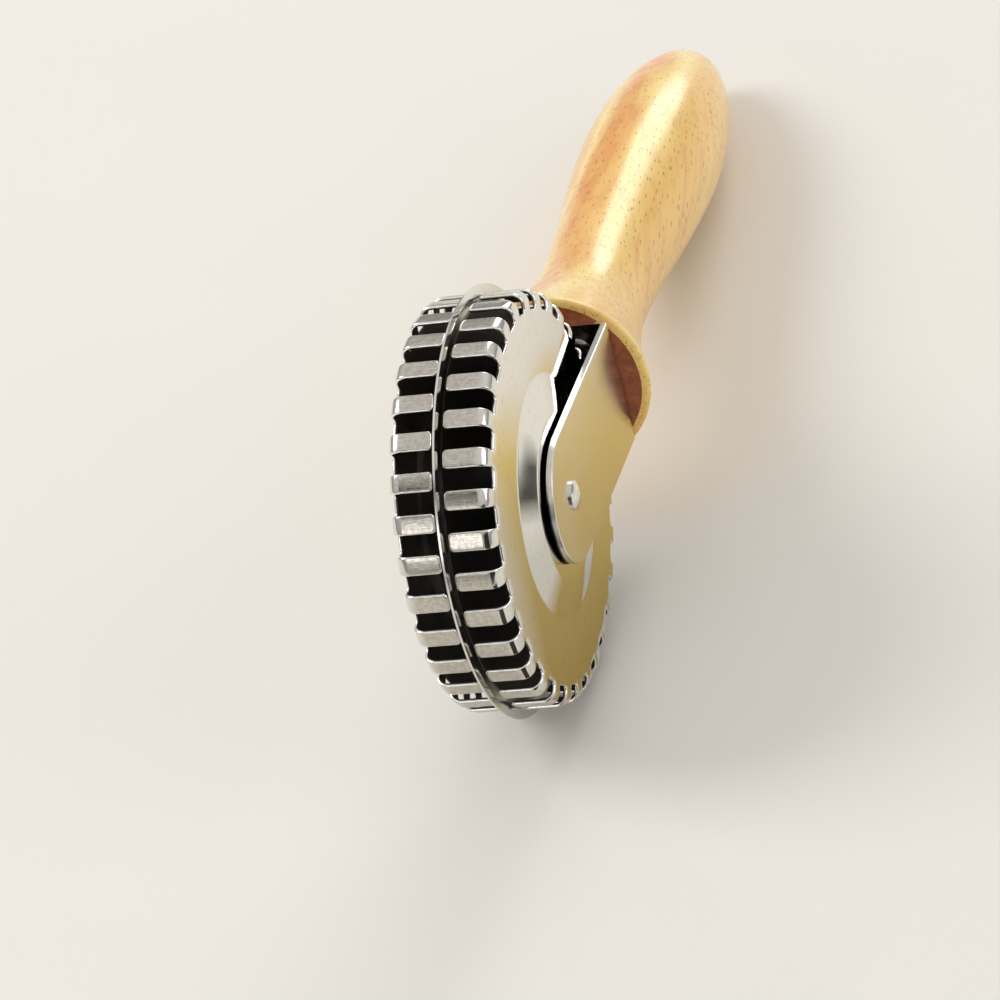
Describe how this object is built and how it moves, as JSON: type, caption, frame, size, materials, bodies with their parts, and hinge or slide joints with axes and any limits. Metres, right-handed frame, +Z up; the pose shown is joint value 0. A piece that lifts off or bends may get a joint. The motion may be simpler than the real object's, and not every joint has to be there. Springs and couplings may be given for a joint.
{
  "type": "pastry crimper",
  "caption": "Hand pastry crimper: a thin cutting disc between two toothed chrome covers turns in a strap fork screwed to a turned wood handle.",
  "frame": {"origin": "centre of the bottom of the bounding box, on the surface that the crimper lies on: the cutting disc and the swell of the handle both touch it", "axes": "+X forward from the handle to the wheel, +Y along the axle to the left side, +Z up; the handle slopes down from the axle by 10.7 degrees"},
  "size_m": [0.2112, 0.0366, 0.08],
  "materials": {
    "handle_wood": "varnished, glossy",
    "strap_chrome": "polished",
    "screw_steel": "dull plated",
    "rivet_chrome": "polished",
    "cover_chrome": "polished, lightly scuffed on the teeth",
    "disc_chrome": "polished",
    "sleeve_steel": "plain",
    "spacer_steel": "plain"
  },
  "bodies": {
    "frame": {"handle": "handle_wood", "fork": "strap_chrome", "fork_screws": "screw_steel", "axle_rivet": "rivet_chrome"},
    "wheel": {"cover_left": "cover_chrome", "cover_right": "cover_chrome", "cutting_disc": "disc_chrome", "hub_sleeve": "sleeve_steel", "spacer_left": "spacer_steel", "spacer_right": "spacer_steel"}
  },
  "joints": [
    {"name": "wheel_spin", "type": "hinge", "parent": "frame", "child": "wheel", "pos_m": [0.06562, 0, 0.04], "axis": [0, 1, 0], "continuous": true}
  ]
}
